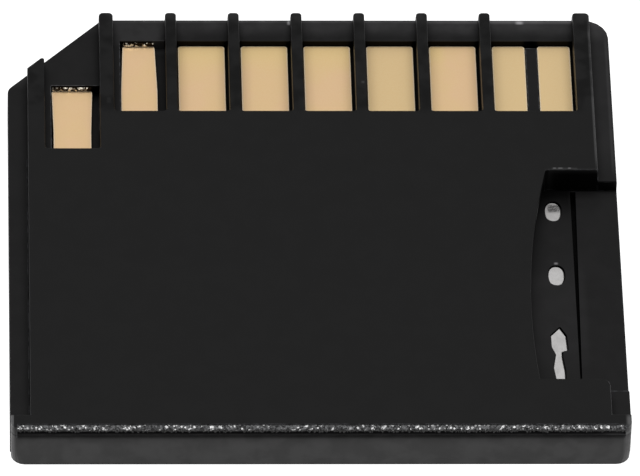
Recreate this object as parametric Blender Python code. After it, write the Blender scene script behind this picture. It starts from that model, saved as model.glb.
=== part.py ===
"""Short memory card adapter: a small card goes in from the side, and the whole has a full-size card's front.

The adapter lies on its label face, with its contact face up. +Y points to the leading edge, where the
contact pads are, and +X to the side that the small card goes in from. The origin is at the middle of the
label face. Lengths are in metres.
"""

import bmesh
import bpy
import math

MM = 0.001

# Outer shape
WIDTH = 24.0 * MM
LENGTH = 23.3 * MM
THICKNESS = 2.10 * MM
RAIL_TOP = 1.40 * MM
RAIL_WIDTH = 0.76 * MM
CUT_CORNER_RADIUS = 0.5 * MM
FRONT_CORNER_RADIUS = 1.0 * MM
REAR_CORNER_RADIUS = 0.30 * MM
REAR_FOOT_RADIUS = 0.54 * MM
REAR_BLEND_HEIGHT = 0.95 * MM
REAR_BLEND_STEPS = 4
LABEL_EDGE_RADIUS = 0.04 * MM
TOP_EDGE_RADIUS = 0.05 * MM

# Deck, which both shells and the contacts share
DECK_TOP = 0.96 * MM
SEAT_GAP = 0.02 * MM
METAL = 0.15 * MM

# Rear grip
GRIP_DEPTH = 0.68 * MM
GRIP_INSET = 0.035 * MM
GRIP_SEAM = 1.62 * MM
GRIP_LOWER_EDGE_RADIUS = 0.20 * MM
GRIP_GROOVE_HIGH = 1.87 * MM
GRIP_GROOVE_DEPTH = 0.22 * MM
GRIP_LIP_CHAMFER_DEPTH = 0.16 * MM
GRIP_LIP_CHAMFER_HEIGHT = 0.20 * MM
GRIP_EAR_WIDTH = 0.24 * MM

# Front bar, windows, ribs and frames
FIRST_RIB_WIDTH = 0.56 * MM
RIB_WIDTH = 0.44 * MM
RIB_COUNT = 6
RIB_LEAD_IN = 0.31 * MM
RIB_LEAD_IN_HEIGHT = 0.45 * MM
RIB_END_RADIUS = 0.14 * MM
STRIP_END_RADIUS = 0.18 * MM
WINDOW_CORNER_RADIUS = 0.14 * MM
DIVIDER_TOP = 1.22 * MM
DIVIDER_SETBACK = 0.22 * MM

# Front area, as shares of the distance from the leading edge to the side slot
BAR_DEPTH_SHARE = 0.1323
CUT_ALONG_SHARE = 0.4306
PAD_9_FRONT_SHARE = 0.4089
WINDOW_REAR_SHARE = 0.6377
PAD_9_WINDOW_REAR_SHARE = 0.8666

# Row of windows across the width, as shares of the contact pitch. Places count from the middle
PITCH_END_ROOM = 1.455 * MM
PITCH_COUNT = 9
CUT_ACROSS_SHARE = 1.505
FIRST_RIB_SHARE = -3.222
RIB_START_SHARE = -2.192
LEFT_STRIP_SHARE = 0.2715
RIGHT_STRIP_SHARE = 0.2655
PAD_2_X_SHARE = -1.703
PAD_SIDE_ROOM = 0.195 * MM
PAD_1_X_SHARE = -2.701
PAD_1_WIDTH_SHARE = 0.579
PAD_1_FRONT_WIDTH_SHARE = 0.515
PAD_7_X_SHARE = 3.190
PAD_8_X_SHARE = 3.912
PAD_NARROW_SHARE = 0.525
PAD_9_X_SHARE = -3.770
PAD_9_WIDTH_SHARE = 0.599
PAD_9_FRONT_WIDTH_SHARE = 0.647
PAD_UNDER_PLATE = 0.05 * MM
PAD_CORNER_RADIUS = 0.12 * MM
PAD_TAPER_SHARE = 0.55

# Leads behind the pads
LEAD_FULL_WIDTH = 0.26 * MM
LEAD_SHARE_OF_PITCH = 0.6
LEAD_BEND_ROOM = 0.01 * MM
LEAD_SHOULDER = 0.14 * MM
LEAD_FIRST_DROP = 0.23 * MM
LEAD_TO_SLOT = 0.34 * MM
LEAD_TO_POCKET = 0.40 * MM
NESTED_LEAD_COUNT = 7

# Small card and the bay that takes it from the side
CARD_WIDTH = 11.0 * MM
CARD_LENGTH = 15.0 * MM
CARD_THICKNESS = 0.70 * MM
CARD_SIDE_ROOM = 0.15 * MM
CARD_TOP_ROOM = 0.06 * MM
CARD_END_SETBACK = 0.20 * MM
CARD_CONTACT_COUNT = 8
CARD_PITCH_COUNT = 10

# Side slot, with its finger scoop
REAR_WALL_SHARE = 0.2206
SLOT_SIDE_ROOM = 0.085 * MM
SCOOP_RADIUS = 36.5 * MM
SCOOP_DEPTH = 3.68 * MM
SCOOP_DEEPEST_SHARE = 0.678
SLOT_CORNER_RADIUS = 0.10 * MM
SLOT_REAR_CORNER_RADIUS = 0.35 * MM
SILL_WIDTH_FRONT = 1.63 * MM
SILL_WIDTH_REAR = 1.79 * MM
SILL_GROOVE_FROM_SIDE = 1.85 * MM
SILL_GROOVE_DEPTH = 0.45 * MM

# Sprung fingers of the contacts, and their pockets in the bay's floor
FINGER_FOOT = 0.30 * MM
POCKET_LENGTH = 4.3 * MM
POCKET_WIDTH = 0.66 * MM
POCKET_FLOOR = 0.40 * MM
FINGER_WIDTH = 0.50 * MM
FINGER_TIP_WIDTH = 0.34 * MM
FINGER_DIP = 0.36 * MM
FINGER_LIFT = 0.08 * MM
FINGER_TIP_DROP = 0.16 * MM

# Grip spring in the slot's floor, and its windows, whose places are shares of the slot's length
GRIP_SPRING_FROM_SIDE = 2.57 * MM
GRIP_SPRING_WIDTH = 0.90 * MM
GRIP_SPRING_SKIN = 0.14 * MM
GRIP_SPRING_END_ROOM = 0.40 * MM
WINDOW_GAP = 0.035 * MM
WINDOW_SHIFT = 0.02 * MM
RAISED_PAD_DROP = 0.04 * MM
ROUND_WINDOW_LENGTH = 1.03 * MM
ROUND_WINDOW_WIDTH = 0.62 * MM
ROUND_WINDOW_SHAPE_SHARE = 0.85
FIRST_WINDOW_SHARE = 0.1037
SECOND_WINDOW_SHARE = 0.4133
KEY_WINDOW_SHARE = 0.6635
KEY_WINDOW_LENGTH_SHARE = 0.2633
KEY_WINDOW_CORNERS = (
    (0.01, 0.000, 0.02), (0.24, 0.146, 0.08), (0.28, 0.407, 0.06), (0.06, 0.421, 0.05), (0.055, 0.536, 0.25),
    (0.14, 0.785, 0.30), (0.14, 1.000, 0.12), (-0.18, 1.000, 0.12), (-0.29, 0.712, 0.25),
    (-0.18, 0.470, 0.15), (-0.33, 0.338, 0.20), (-0.34, 0.139, 0.06),
)

# Pegs that line the two shells up
PEG_RADIUS = 0.40 * MM
PEG_HEIGHT = 0.55 * MM
PEG_ROOM = 0.03 * MM
PEG_EDGE_DISTANCE = 0.75 * MM

# Places worked out from the sizes above
FRONT = LENGTH / 2
REAR = -LENGTH / 2
SIDE = WIDTH / 2
PLATE_SIDE = SIDE - RAIL_WIDTH - SEAT_GAP
GRIP_FRONT = REAR + GRIP_DEPTH
GRIP_SIDE = SIDE - GRIP_INSET
CONTACT_LOW = DECK_TOP + SEAT_GAP
CONTACT_TOP = CONTACT_LOW + METAL
ABOVE_RAIL = RAIL_TOP + SEAT_GAP
SLOT_LENGTH = CARD_WIDTH + 2 * (CARD_SIDE_ROOM + SLOT_SIDE_ROOM)
REAR_WALL = REAR_WALL_SHARE * (LENGTH - SLOT_LENGTH)
SLOT_REAR = LENGTH - REAR_WALL
SLOT_FRONT = SLOT_REAR - SLOT_LENGTH
BAY_FRONT = SLOT_FRONT + SLOT_SIDE_ROOM
BAY_REAR = SLOT_REAR - SLOT_SIDE_ROOM
BAY_END_X = SIDE - CARD_END_SETBACK - CARD_LENGTH
BAY_CEILING = CONTACT_LOW + CARD_THICKNESS + CARD_TOP_ROOM
SCOOP_DEEPEST_X = SIDE - SCOOP_DEPTH
SCOOP_DEEPEST_BACK = SLOT_FRONT + SCOOP_DEEPEST_SHARE * SLOT_LENGTH
SILL_GROOVE_X = SIDE - SILL_GROOVE_FROM_SIDE
SILL_X_FRONT = SIDE - SILL_WIDTH_FRONT
SILL_X_REAR = SIDE - SILL_WIDTH_REAR
GRIP_SPRING_X = SIDE - GRIP_SPRING_FROM_SIDE
FIRST_WINDOW_BACK = SLOT_FRONT + FIRST_WINDOW_SHARE * SLOT_LENGTH
SECOND_WINDOW_BACK = SLOT_FRONT + SECOND_WINDOW_SHARE * SLOT_LENGTH
KEY_WINDOW_BACK = SLOT_FRONT + KEY_WINDOW_SHARE * SLOT_LENGTH
KEY_WINDOW_LENGTH = KEY_WINDOW_LENGTH_SHARE * SLOT_LENGTH
BAR_DEPTH = BAR_DEPTH_SHARE * SLOT_FRONT
CUT_ALONG = CUT_ALONG_SHARE * SLOT_FRONT
PAD_9_FRONT = PAD_9_FRONT_SHARE * SLOT_FRONT
WINDOW_REAR = WINDOW_REAR_SHARE * SLOT_FRONT
PAD_9_WINDOW_REAR = PAD_9_WINDOW_REAR_SHARE * SLOT_FRONT
PAD_PITCH = (WIDTH - PITCH_END_ROOM) / PITCH_COUNT
CUT_ACROSS = CUT_ACROSS_SHARE * PAD_PITCH
FIRST_RIB_X = FIRST_RIB_SHARE * PAD_PITCH
RIB_START_X = RIB_START_SHARE * PAD_PITCH
LEFT_STRIP_WIDTH = LEFT_STRIP_SHARE * PAD_PITCH
RIGHT_STRIP_WIDTH = RIGHT_STRIP_SHARE * PAD_PITCH
PAD_WIDTH = PAD_PITCH - RIB_WIDTH - PAD_SIDE_ROOM
PAD_1_X = PAD_1_X_SHARE * PAD_PITCH
PAD_1_WIDTH = PAD_1_WIDTH_SHARE * PAD_PITCH
PAD_2_X = PAD_2_X_SHARE * PAD_PITCH
PAD_7_X = PAD_7_X_SHARE * PAD_PITCH
PAD_8_X = PAD_8_X_SHARE * PAD_PITCH
PAD_NARROW_WIDTH = PAD_NARROW_SHARE * PAD_PITCH
PAD_9_X = PAD_9_X_SHARE * PAD_PITCH
PAD_9_WIDTH = PAD_9_WIDTH_SHARE * PAD_PITCH
PAD_9_FRONT_WIDTH = PAD_9_FRONT_WIDTH_SHARE * PAD_PITCH
FRAME_1_X = PAD_1_X - PAD_1_WIDTH / 2 - SEAT_GAP
FRAME_9_X = PAD_9_X - PAD_9_FRONT_WIDTH / 2 - SEAT_GAP
POCKET_START_X = BAY_END_X - FINGER_FOOT
FIRST_COLUMN_X = POCKET_START_X - LEAD_TO_POCKET
COLUMN_PITCH = (FIRST_COLUMN_X - FIRST_RIB_X) / (NESTED_LEAD_COUNT - 1)
FIRST_AISLE = SLOT_FRONT - LEAD_TO_SLOT
LAST_AISLE = WINDOW_REAR + PAD_UNDER_PLATE + LEAD_SHOULDER + LEAD_FIRST_DROP
AISLE_PITCH = (FIRST_AISLE - LAST_AISLE) / (NESTED_LEAD_COUNT - 1)
LEAD_WIDTH = min(LEAD_FULL_WIDTH, LEAD_SHARE_OF_PITCH * min(COLUMN_PITCH, AISLE_PITCH))
LEAD_BEND_RADIUS = LEAD_WIDTH / 2 + SEAT_GAP + LEAD_BEND_ROOM
CARD_CONTACT_PITCH = CARD_WIDTH / CARD_PITCH_COUNT
FAR = 2 * WIDTH
LIP_END_X = GRIP_SIDE - GRIP_EAR_WIDTH
ARC_STEPS = 5


def back(distance):
    """Y of a place that lies this far behind the leading edge."""
    return FRONT - distance


def cut_line_back(x):
    """How far behind the leading edge the corner cut is at x."""
    return CUT_ALONG * (CUT_ACROSS - SIDE - x) / CUT_ACROSS


def rounded(corners, closed=True, steps=ARC_STEPS):
    """Outline through corners given as (x, y, radius), with an arc at each corner that has a radius."""
    points = []
    count = len(corners)
    for i, (x, y, radius) in enumerate(corners):
        is_end = not closed and i in (0, count - 1)
        if radius <= 0 or is_end:
            points.append((x, y))
            continue
        before = corners[i - 1]
        after = corners[(i + 1) % count]
        in_angle = math.atan2(y - before[1], x - before[0])
        turn = math.remainder(math.atan2(after[1] - y, after[0] - x) - in_angle, math.tau)
        reach = radius * math.tan(abs(turn) / 2)
        side = math.copysign(1, turn)
        start_x = x - reach * math.cos(in_angle)
        start_y = y - reach * math.sin(in_angle)
        centre_x = start_x - side * radius * math.sin(in_angle)
        centre_y = start_y + side * radius * math.cos(in_angle)
        for step in range(steps + 1):
            angle = in_angle + turn * step / steps
            points.append((centre_x + side * radius * math.sin(angle),
                           centre_y - side * radius * math.cos(angle)))
    return points


def inset(points, distance):
    """A counter-clockwise outline moved inwards by a distance, with mitred corners."""
    if distance == 0:
        return list(points)
    moved = []
    for i, (x, y) in enumerate(points):
        before = points[i - 1]
        after = points[(i + 1) % len(points)]
        in_length = math.hypot(x - before[0], y - before[1])
        out_length = math.hypot(after[0] - x, after[1] - y)
        in_normal = (-(y - before[1]) / in_length, (x - before[0]) / in_length)
        out_normal = (-(after[1] - y) / out_length, (after[0] - x) / out_length)
        scale = distance / (1 + in_normal[0] * out_normal[0] + in_normal[1] * out_normal[1])
        moved.append((x + scale * (in_normal[0] + out_normal[0]),
                      y + scale * (in_normal[1] + out_normal[1])))
    return moved


def new_object(name, mesh_maker):
    """Object whose mesh is filled in by a function that gets an empty bmesh."""
    mesh = bpy.data.meshes.new(name)
    shape = bmesh.new()
    mesh_maker(shape)
    bmesh.ops.recalc_face_normals(shape, faces=shape.faces)
    shape.to_mesh(mesh)
    shape.free()
    item = bpy.data.objects.new(name, mesh)
    bpy.context.collection.objects.link(item)
    return item


def add_loops(shape, loops):
    """Closed body through loops of points, each with as many points as the next."""
    rows = [[shape.verts.new(point) for point in loop] for loop in loops]
    for low, high in zip(rows, rows[1:]):
        for i in range(len(low)):
            j = (i + 1) % len(low)
            shape.faces.new((low[i], low[j], high[j], high[i]))
    shape.faces.new(tuple(reversed(rows[0])))
    shape.faces.new(tuple(rows[-1]))


def add_stack(shape, rings):
    """Closed body through rings of (points, z), lowest first."""
    add_loops(shape, [[(x, y, z) for x, y in points] for points, z in rings])


def stack(name, rings):
    """Object made of one closed stack of rings."""
    return new_object(name, lambda shape: add_stack(shape, rings))


def prisms(name, outlines, low, high):
    """Object made of one upright prism for each outline."""
    def fill(shape):
        for outline in outlines:
            add_stack(shape, [(outline, low), (outline, high)])
    return new_object(name, fill)


def bar_along_x(name, section, x_low, x_high):
    """Object made of one bar with a section of (y, z) corners."""
    loops = [[(x, y, z) for y, z in section] for x in (x_low, x_high)]
    return new_object(name, lambda shape: add_loops(shape, loops))


def box_outline(x_low, x_high, y_low, y_high):
    """Rectangle, counter-clockwise."""
    return [(x_low, y_low), (x_high, y_low), (x_high, y_high), (x_low, y_high)]


def circle_outline(x, y, radius, count=20):
    """Circle, counter-clockwise."""
    return [(x + radius * math.cos(math.tau * i / count), y + radius * math.sin(math.tau * i / count))
            for i in range(count)]


def boolean(target, tool, operation):
    """Boolean modifier on the target; the tool is kept as a hidden guide."""
    modifier = target.modifiers.new(tool.name, "BOOLEAN")
    modifier.operation = operation
    modifier.solver = "EXACT"
    modifier.object = tool
    tool.hide_render = True
    tool.display_type = "WIRE"


def plastic(name, color, roughness):
    """Moulded plastic."""
    material = bpy.data.materials.new(name)
    material.use_nodes = True
    shader = material.node_tree.nodes["Principled BSDF"]
    shader.inputs["Base Color"].default_value = (*color, 1)
    shader.inputs["Roughness"].default_value = roughness
    shader.inputs["Metallic"].default_value = 0
    return material


def metal(name, color, roughness):
    """Plated sheet metal."""
    material = plastic(name, color, roughness)
    material.node_tree.nodes["Principled BSDF"].inputs["Metallic"].default_value = 1
    return material


def finish(item, material):
    """Material and smooth shading with sharp edges."""
    item.data.materials.append(material)
    item.data.shade_smooth()
    item.data.set_sharp_from_angle(angle=math.radians(30))


def round_edge(outline_at, top, radius, steps=3):
    """Rings that round the top edge of an outline over, from its full size to its inset top."""
    rings = []
    for step in range(steps + 1):
        angle = math.pi / 2 * step / steps
        height = top - radius + radius * math.sin(angle)
        rings.append((inset(outline_at(height), radius * (1 - math.cos(angle))), height))
    return rings


def outside_edge(top, radius, steps=6):
    """Section of what has to go, so that the rear face's edge at a height is round."""
    points = [(REAR + radius, top + METAL), (REAR - METAL, top + METAL), (REAR - METAL, top - radius)]
    for step in range(steps + 1):
        angle = math.pi / 2 * step / steps
        points.append((REAR + radius * (1 - math.cos(angle)), top - radius * (1 - math.sin(angle))))
    return points


def rib_places():
    """Middle and width of each full-height rib between the pads, from left to right."""
    places = [(FIRST_RIB_X, FIRST_RIB_WIDTH)]
    for i in range(RIB_COUNT):
        places.append((RIB_START_X + i * PAD_PITCH, RIB_WIDTH))
    return places


def rear_radius(height):
    """Radius of the rear corners, which are rounder towards the label face."""
    share = max(0.0, 1 - height / REAR_BLEND_HEIGHT)
    return REAR_CORNER_RADIUS + (REAR_FOOT_RADIUS - REAR_CORNER_RADIUS) * share ** 2


def outer_outline(height):
    """Plan outline of the whole adapter at a height, counter-clockwise."""
    return rounded([
        (GRIP_SIDE, GRIP_FRONT, 0),
        (SIDE, GRIP_FRONT, 0),
        (SIDE, FRONT, FRONT_CORNER_RADIUS),
        (CUT_ACROSS - SIDE, FRONT, CUT_CORNER_RADIUS),
        (-SIDE, back(CUT_ALONG), CUT_CORNER_RADIUS),
        (-SIDE, GRIP_FRONT, 0),
        (-GRIP_SIDE, GRIP_FRONT, 0),
        (-GRIP_SIDE, REAR, rear_radius(height)),
        (GRIP_SIDE, REAR, rear_radius(height)),
    ])


def grip_outline():
    """Plan outline of the rear grip, counter-clockwise."""
    return rounded([
        (GRIP_SIDE, GRIP_FRONT, 0),
        (-GRIP_SIDE, GRIP_FRONT, 0),
        (-GRIP_SIDE, REAR, REAR_CORNER_RADIUS),
        (GRIP_SIDE, REAR, REAR_CORNER_RADIUS),
    ])


def deck_outline():
    """Plan outline of the low deck: everything inside the rails, the bar and the raised frames."""
    bridge_left = FIRST_RIB_X - FIRST_RIB_WIDTH / 2
    rail_inside = PLATE_SIDE + SEAT_GAP
    return [
        (FRAME_1_X, back(WINDOW_REAR - SEAT_GAP)),
        (bridge_left, back(WINDOW_REAR - SEAT_GAP)),
        (bridge_left, back(PAD_9_FRONT)),
        (FRAME_9_X, back(PAD_9_FRONT)),
        (FRAME_9_X, back(PAD_9_WINDOW_REAR - SEAT_GAP)),
        (-rail_inside, back(PAD_9_WINDOW_REAR - SEAT_GAP)),
        (-rail_inside, GRIP_FRONT),
        (rail_inside, GRIP_FRONT),
        (rail_inside, back(SLOT_REAR)),
        (FAR, back(SLOT_REAR)),
        (FAR, back(SLOT_FRONT)),
        (rail_inside, back(SLOT_FRONT)),
        (rail_inside, back(BAR_DEPTH)),
        (FRAME_1_X, back(BAR_DEPTH)),
    ]


def finger_rows():
    """Y of each sprung finger, from the frontmost to the rearmost."""
    first = (BAY_FRONT + BAY_REAR - (CARD_CONTACT_COUNT - 1) * CARD_CONTACT_PITCH) / 2
    return [back(first + i * CARD_CONTACT_PITCH) for i in range(CARD_CONTACT_COUNT)]


def oval_outline(middle_back, count=28):
    """Outline of an oval raised pad, counter-clockwise."""
    points = []
    for i in range(count):
        angle = math.tau * i / count
        across = math.copysign(abs(math.cos(angle)) ** ROUND_WINDOW_SHAPE_SHARE, math.cos(angle))
        along = math.copysign(abs(math.sin(angle)) ** ROUND_WINDOW_SHAPE_SHARE, math.sin(angle))
        points.append((GRIP_SPRING_X + ROUND_WINDOW_WIDTH / 2 * across,
                       back(middle_back) + ROUND_WINDOW_LENGTH / 2 * along))
    return points


def key_outline():
    """Outline of the key-shaped raised pad, counter-clockwise."""
    corners = [(GRIP_SPRING_X + x * MM, back(KEY_WINDOW_BACK + share * KEY_WINDOW_LENGTH), radius * MM)
               for x, share, radius in reversed(KEY_WINDOW_CORNERS)]
    return rounded(corners, steps=3)


def raised_pad_outlines():
    """Outlines of the grip spring's three raised pads."""
    return [oval_outline(FIRST_WINDOW_BACK), oval_outline(SECOND_WINDOW_BACK), key_outline()]


def window_outlines():
    """Outlines of the three windows, a little larger than the raised pads and off their middles."""
    return [[(x + WINDOW_SHIFT, y + WINDOW_SHIFT) for x, y in inset(outline, -WINDOW_GAP)]
            for outline in raised_pad_outlines()]


def grip_spring_span():
    """Low and high Y of the grip spring."""
    low = back(KEY_WINDOW_BACK + KEY_WINDOW_LENGTH + GRIP_SPRING_END_ROOM)
    high = back(FIRST_WINDOW_BACK - ROUND_WINDOW_LENGTH / 2 - GRIP_SPRING_END_ROOM)
    return low, high


def peg_places():
    """Middle of each peg."""
    x = PLATE_SIDE - PEG_EDGE_DISTANCE
    rear_y = REAR + (GRIP_DEPTH + REAR_WALL) / 2
    return [
        (-x, back(SLOT_FRONT + PEG_EDGE_DISTANCE)),
        (-x, rear_y),
        (0.0, rear_y),
        (x, rear_y),
    ]


def make_label_side_shell(material):
    """Lower half: deck, rails, bar, frames, divider, slot floor with sill, pockets and grip."""
    rings = [(inset(outer_outline(0.0), LABEL_EDGE_RADIUS), 0.0),
             (inset(outer_outline(0.0), LABEL_EDGE_RADIUS * 0.29), LABEL_EDGE_RADIUS * 0.29)]
    for step in range(REAR_BLEND_STEPS + 1):
        height = LABEL_EDGE_RADIUS + (REAR_BLEND_HEIGHT - LABEL_EDGE_RADIUS) * step / REAR_BLEND_STEPS
        rings.append((outer_outline(height), height))
    rings += round_edge(outer_outline, RAIL_TOP, TOP_EDGE_RADIUS)
    shell = stack("label_side_shell", rings)
    boolean(shell, prisms("deck_cutter", [deck_outline()], DECK_TOP, FAR), "DIFFERENCE")
    grip = [(grip_outline(), RAIL_TOP - 2 * TOP_EDGE_RADIUS)]
    grip += round_edge(lambda height: grip_outline(), GRIP_SEAM, TOP_EDGE_RADIUS)
    boolean(shell, stack("lower_grip_tool", grip), "UNION")
    boolean(shell, bar_along_x("grip_edge_cutter", outside_edge(GRIP_SEAM, GRIP_LOWER_EDGE_RADIUS),
                               -LIP_END_X, LIP_END_X), "DIFFERENCE")

    pad_reach = PAD_NARROW_WIDTH / 2 + SEAT_GAP
    divider = box_outline(PAD_7_X + pad_reach, PAD_8_X - pad_reach,
                          back(WINDOW_REAR - SEAT_GAP), back(BAR_DEPTH + DIVIDER_SETBACK))
    boolean(shell, prisms("divider_tool", [divider], DECK_TOP - METAL, DIVIDER_TOP), "UNION")

    pegs = [circle_outline(x, y, PEG_RADIUS) for x, y in peg_places()]
    boolean(shell, prisms("peg_tool", pegs, DECK_TOP - METAL, DECK_TOP + PEG_HEIGHT), "UNION")

    pockets = [box_outline(POCKET_START_X, POCKET_START_X + POCKET_LENGTH,
                           row - POCKET_WIDTH / 2, row + POCKET_WIDTH / 2) for row in finger_rows()]
    boolean(shell, prisms("pocket_cutter", pockets, POCKET_FLOOR, DECK_TOP + METAL), "DIFFERENCE")

    groove = [(SILL_GROOVE_X, back(BAY_REAR)), (SILL_X_REAR, back(BAY_REAR)),
              (SILL_X_FRONT, back(BAY_FRONT)), (SILL_GROOVE_X, back(BAY_FRONT))]
    boolean(shell, prisms("sill_groove_cutter", [groove], DECK_TOP - SILL_GROOVE_DEPTH, DECK_TOP + METAL),
            "DIFFERENCE")

    low_y, high_y = grip_spring_span()
    half = GRIP_SPRING_WIDTH / 2 + SEAT_GAP
    cavity = box_outline(GRIP_SPRING_X - half, GRIP_SPRING_X + half, low_y - SEAT_GAP, high_y + SEAT_GAP)
    cavity_top = DECK_TOP - GRIP_SPRING_SKIN
    boolean(shell, prisms("grip_spring_cavity", [cavity], cavity_top - METAL - 2 * SEAT_GAP, cavity_top),
            "DIFFERENCE")
    boolean(shell, prisms("window_cutter", window_outlines(), cavity_top - METAL / 2, DECK_TOP + METAL),
            "DIFFERENCE")
    finish(shell, material)
    return shell


def contact_side_outline(lead_in):
    """Plan outline of the upper half, counter-clockwise, with its ribs' ends set back by the lead-in."""
    strip_in = -PLATE_SIDE + LEFT_STRIP_WIDTH
    strip_end = (back(cut_line_back(-PLATE_SIDE) + lead_in + SEAT_GAP),
                 back(cut_line_back(strip_in) + lead_in + SEAT_GAP))
    rib_end = FRONT - lead_in
    corners = [
        (-PLATE_SIDE, strip_end[0], STRIP_END_RADIUS / 2),
        (strip_in, strip_end[1], STRIP_END_RADIUS / 2),
        (strip_in, back(PAD_9_WINDOW_REAR), WINDOW_CORNER_RADIUS),
    ]
    window_rear = PAD_9_WINDOW_REAR
    for middle, width in rib_places():
        radius = STRIP_END_RADIUS if width == FIRST_RIB_WIDTH else RIB_END_RADIUS
        corners += [
            (middle - width / 2, back(window_rear), WINDOW_CORNER_RADIUS),
            (middle - width / 2, rib_end, radius),
            (middle + width / 2, rib_end, radius),
            (middle + width / 2, back(WINDOW_REAR), WINDOW_CORNER_RADIUS),
        ]
        window_rear = WINDOW_REAR
    corners += [
        (PLATE_SIDE - RIGHT_STRIP_WIDTH, back(WINDOW_REAR), WINDOW_CORNER_RADIUS),
        (PLATE_SIDE - RIGHT_STRIP_WIDTH, rib_end, RIB_END_RADIUS),
        (PLATE_SIDE, rib_end, STRIP_END_RADIUS),
        (PLATE_SIDE, back(SLOT_FRONT), 0),
    ]
    front_points = rounded(corners, closed=False)
    scoop = [(scoop_x(at), back(at)) for at in scoop_steps()]
    scoop_start = rounded([(PLATE_SIDE, back(SLOT_FRONT), 0),
                           (scoop_x(SLOT_FRONT), back(SLOT_FRONT), SLOT_CORNER_RADIUS),
                           (*scoop[0], 0)], closed=False)[1:-1]
    rear_corners = [
        (scoop_x(SLOT_REAR), back(SLOT_REAR), 0),
        (PLATE_SIDE, back(SLOT_REAR), SLOT_REAR_CORNER_RADIUS),
        (PLATE_SIDE, GRIP_FRONT, 0),
        (GRIP_SIDE, GRIP_FRONT, 0),
        (GRIP_SIDE, REAR, REAR_CORNER_RADIUS),
        (-GRIP_SIDE, REAR, REAR_CORNER_RADIUS),
        (-GRIP_SIDE, GRIP_FRONT, 0),
        (-PLATE_SIDE, GRIP_FRONT, 0),
    ]
    rear_points = rounded(rear_corners, closed=False)
    return list(reversed(front_points + scoop_start + scoop + rear_points))


def scoop_x(distance_back):
    """X of the finger scoop's edge, a shallow arc."""
    along = distance_back - SCOOP_DEEPEST_BACK
    return SCOOP_DEEPEST_X + SCOOP_RADIUS - math.sqrt(SCOOP_RADIUS ** 2 - along ** 2)


def scoop_steps(count=12):
    """Distances behind the leading edge where the scoop has its points."""
    start = SLOT_FRONT + 2 * SLOT_CORNER_RADIUS
    return [start + (SLOT_REAR - start) * i / count for i in range(count)]


def make_contact_side_shell(material):
    """Upper half: plate, ribs, strips, slot cut-out, bay ceiling, lead channels and grip."""
    lead_in_start = THICKNESS - RIB_LEAD_IN_HEIGHT

    def outline_at(height):
        share = max(0.0, (height - lead_in_start) / RIB_LEAD_IN_HEIGHT)
        return contact_side_outline(RIB_LEAD_IN * share)

    rings = [(outline_at(CONTACT_LOW), CONTACT_LOW), (outline_at(lead_in_start), lead_in_start)]
    rings += round_edge(outline_at, THICKNESS, TOP_EDGE_RADIUS)
    shell = stack("contact_side_shell", rings)

    frame_9_end = FRAME_9_X + SEAT_GAP
    frame_1_end = FRAME_1_X + SEAT_GAP
    over_raised = [
        box_outline(-FAR, frame_9_end, back(PAD_9_WINDOW_REAR), FAR),
        box_outline(frame_9_end + METAL, frame_1_end, back(WINDOW_REAR), FAR),
        box_outline(frame_1_end + METAL, FAR, back(BAR_DEPTH + SEAT_GAP), FAR),
    ]
    boolean(shell, prisms("raised_area_cutter", over_raised, 0.0, ABOVE_RAIL), "DIFFERENCE")
    grip_seat = box_outline(-FAR, FAR, -FAR, GRIP_FRONT + SEAT_GAP)
    boolean(shell, prisms("grip_seat_cutter", [grip_seat], 0.0, GRIP_SEAM + SEAT_GAP), "DIFFERENCE")
    boolean(shell, prisms("bay_cutter", [box_outline(BAY_END_X, FAR, back(BAY_REAR), back(BAY_FRONT))],
                          0.0, BAY_CEILING), "DIFFERENCE")
    sockets = [circle_outline(x, y, PEG_RADIUS + PEG_ROOM) for x, y in peg_places()]
    boolean(shell, prisms("socket_cutter", sockets, 0.0, DECK_TOP + PEG_HEIGHT + SEAT_GAP), "DIFFERENCE")
    boolean(shell, make_channels(), "DIFFERENCE")
    groove = box_outline(-LIP_END_X, LIP_END_X, -FAR, REAR + GRIP_GROOVE_DEPTH)
    boolean(shell, prisms("grip_groove_cutter", [groove], 0.0, GRIP_GROOVE_HIGH), "DIFFERENCE")
    chamfer = [(REAR + GRIP_LIP_CHAMFER_DEPTH, THICKNESS), (REAR, THICKNESS - GRIP_LIP_CHAMFER_HEIGHT),
               (REAR - METAL, THICKNESS - GRIP_LIP_CHAMFER_HEIGHT), (REAR - METAL, THICKNESS + METAL),
               (REAR + GRIP_LIP_CHAMFER_DEPTH, THICKNESS + METAL)]
    boolean(shell, bar_along_x("grip_lip_chamfer", chamfer, -LIP_END_X, LIP_END_X), "DIFFERENCE")
    finish(shell, material)
    return shell


def contact_plan():
    """Each contact's pad as (x, front width, width, front, rear), and its place in the nest or None."""
    pad_1_front_width = PAD_1_FRONT_WIDTH_SHARE * PAD_PITCH
    plan = {
        1: (PAD_1_X, pad_1_front_width, PAD_1_WIDTH, BAR_DEPTH, WINDOW_REAR, 6),
        7: (PAD_7_X, PAD_NARROW_WIDTH, PAD_NARROW_WIDTH, BAR_DEPTH, WINDOW_REAR, 1),
        8: (PAD_8_X, PAD_NARROW_WIDTH, PAD_NARROW_WIDTH, BAR_DEPTH, WINDOW_REAR, 0),
        9: (PAD_9_X, PAD_9_FRONT_WIDTH, PAD_9_WIDTH, PAD_9_FRONT, PAD_9_WINDOW_REAR, 7),
    }
    nest = {2: 5, 3: None, 4: 4, 5: 3, 6: 2}
    for number, place in nest.items():
        x = PAD_2_X + (number - 2) * PAD_PITCH
        plan[number] = (x, PAD_WIDTH, PAD_WIDTH, BAR_DEPTH, WINDOW_REAR, place)
    return plan


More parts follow.
